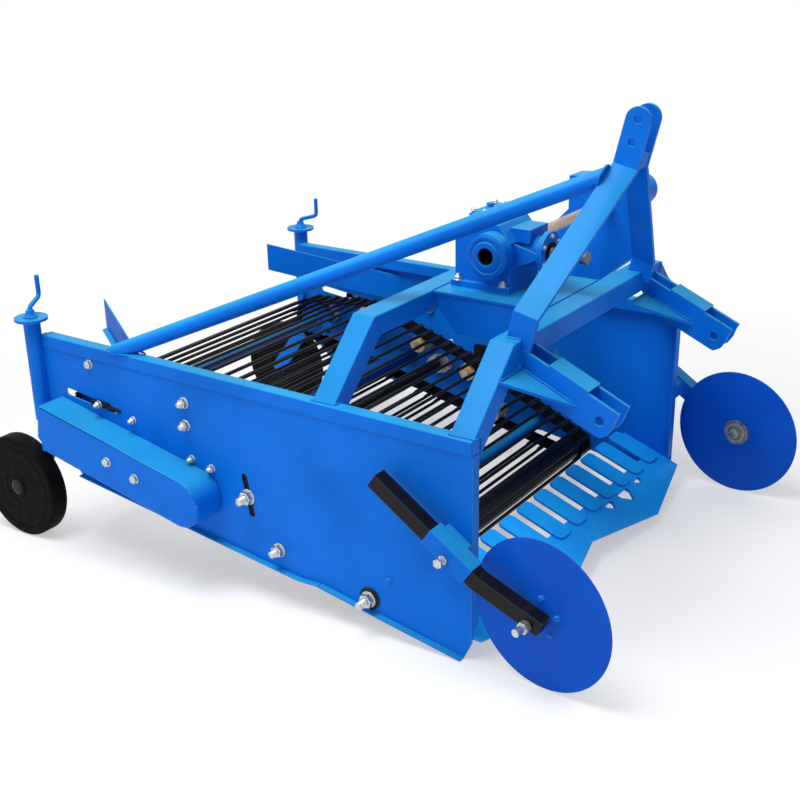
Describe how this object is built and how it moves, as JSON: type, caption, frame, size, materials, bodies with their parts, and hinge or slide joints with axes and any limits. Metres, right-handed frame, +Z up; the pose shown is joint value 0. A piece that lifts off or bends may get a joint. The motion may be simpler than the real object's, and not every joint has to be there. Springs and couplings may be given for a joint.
{
  "type": "potato digger",
  "caption": "Tractor-mounted potato digger with a digging blade, rod conveyor between side plates, arched portals, gearbox, lower link brackets, mast, disc coulters and depth wheels.",
  "frame": {"origin": "on the floor below the middle of the whole machine, as it stands on its wheels and front lips", "axes": "+X forward, towards the tractor; +Y left; +Z up"},
  "size_m": [2.192, 1.4809, 1.2813],
  "materials": {
    "blue_paint": "gloss enamel",
    "dark_blue_paint": "satin enamel",
    "black_steel": "satin",
    "black_rubber": "matte",
    "bright_steel": "zinc plated",
    "tan_nylon": "worn cast nylon",
    "blade_paint": "gloss enamel"
  },
  "bodies": {
    "frame": {"right_side_plate": "blue_paint", "left_side_plate": "blue_paint", "right_top_rail": "blue_paint", "left_top_rail": "blue_paint", "front_portal": "blue_paint", "rear_portal": "blue_paint", "gearbox_bed": "blue_paint", "right_mast_bar": "blue_paint", "left_mast_bar": "blue_paint", "mast_spacer": "blue_paint", "mast_brace": "blue_paint", "right_link_bracket": "blue_paint", "left_link_bracket": "blue_paint", "gearbox_housing": "blue_paint", "right_chain_cover": "blue_paint", "left_chain_case": "blue_paint", "lower_drive_shaft": "black_steel", "shaft_bearings": "bright_steel", "conveyor_drive_shaft": "blue_paint", "nose_roller": "black_steel", "belt_rollers": "tan_nylon", "roller_axles": "bright_steel", "conveyor_belts": "black_rubber", "conveyor_rods": "black_steel", "tie_tube": "blue_paint", "rear_cross_member": "dark_blue_paint", "blade": "blade_paint", "blade_fingers": "blade_paint", "right_guide_plate": "blue_paint", "left_guide_plate": "blue_paint", "right_post": "blue_paint", "left_post": "blue_paint", "depth_cranks": "blue_paint", "disc_sleeves": "blue_paint"},
    "pto_shaft": {"pto_input_shaft": "bright_steel"},
    "cross_shaft": {"cross_shaft": "bright_steel"},
    "right_wheel_leg": {"right_wheel_leg": "blue_paint"},
    "right_wheel": {"right_wheel": "black_rubber"},
    "left_wheel_leg": {"left_wheel_leg": "blue_paint"},
    "left_wheel": {"left_wheel": "black_rubber"},
    "right_disc_arm": {"right_disc_arm": "black_steel", "right_disc_axle": "bright_steel"},
    "right_disc": {"right_disc": "blue_paint"},
    "left_disc_arm": {"left_disc_arm": "black_steel", "left_disc_axle": "bright_steel"},
    "left_disc": {"left_disc": "blue_paint"}
  },
  "joints": [
    {"name": "pto_spin", "type": "hinge", "parent": "frame", "child": "pto_shaft", "pos_m": [0.67752, -0.00004, 0.88564], "axis": [0.9987, 0, -0.0505], "continuous": true},
    {"name": "cross_shaft_spin", "type": "hinge", "parent": "frame", "child": "cross_shaft", "pos_m": [0.47178, 0.29996, 0.89605], "axis": [0, 1, 0], "continuous": true},
    {"name": "right_leg_slide", "type": "slide", "parent": "frame", "child": "right_wheel_leg", "axis": [0.0505, 0, 0.9987], "range_m": [-0.06, 0.06]},
    {"name": "right_wheel_spin", "type": "hinge", "parent": "right_wheel_leg", "child": "right_wheel", "pos_m": [-0.93096, -0.65104, 0.165], "axis": [0, 1, 0], "continuous": true},
    {"name": "left_leg_slide", "type": "slide", "parent": "frame", "child": "left_wheel_leg", "axis": [0.0505, 0, 0.9987], "range_m": [-0.06, 0.06]},
    {"name": "left_wheel_spin", "type": "hinge", "parent": "left_wheel_leg", "child": "left_wheel", "pos_m": [-0.93096, 0.65096, 0.165], "axis": [0, 1, 0], "continuous": true},
    {"name": "right_arm_slide", "type": "slide", "parent": "frame", "child": "right_disc_arm", "axis": [0.8049, 0, -0.5934], "range_m": [0, 0.08]},
    {"name": "right_disc_spin", "type": "hinge", "parent": "right_disc_arm", "child": "right_disc", "pos_m": [0.90207, -0.63904, 0.19841], "axis": [0.139, 0.9903, -0.007], "continuous": true},
    {"name": "left_arm_slide", "type": "slide", "parent": "frame", "child": "left_disc_arm", "axis": [0.8049, 0, -0.5934], "range_m": [0, 0.08]},
    {"name": "left_disc_spin", "type": "hinge", "parent": "left_disc_arm", "child": "left_disc", "pos_m": [0.90207, 0.63896, 0.19841], "axis": [0.1044, 0.9945, -0.0053], "continuous": true}
  ],
  "couplings": [
    {"joint": "pto_spin", "follows": "cross_shaft_spin", "ratio": 1}
  ]
}
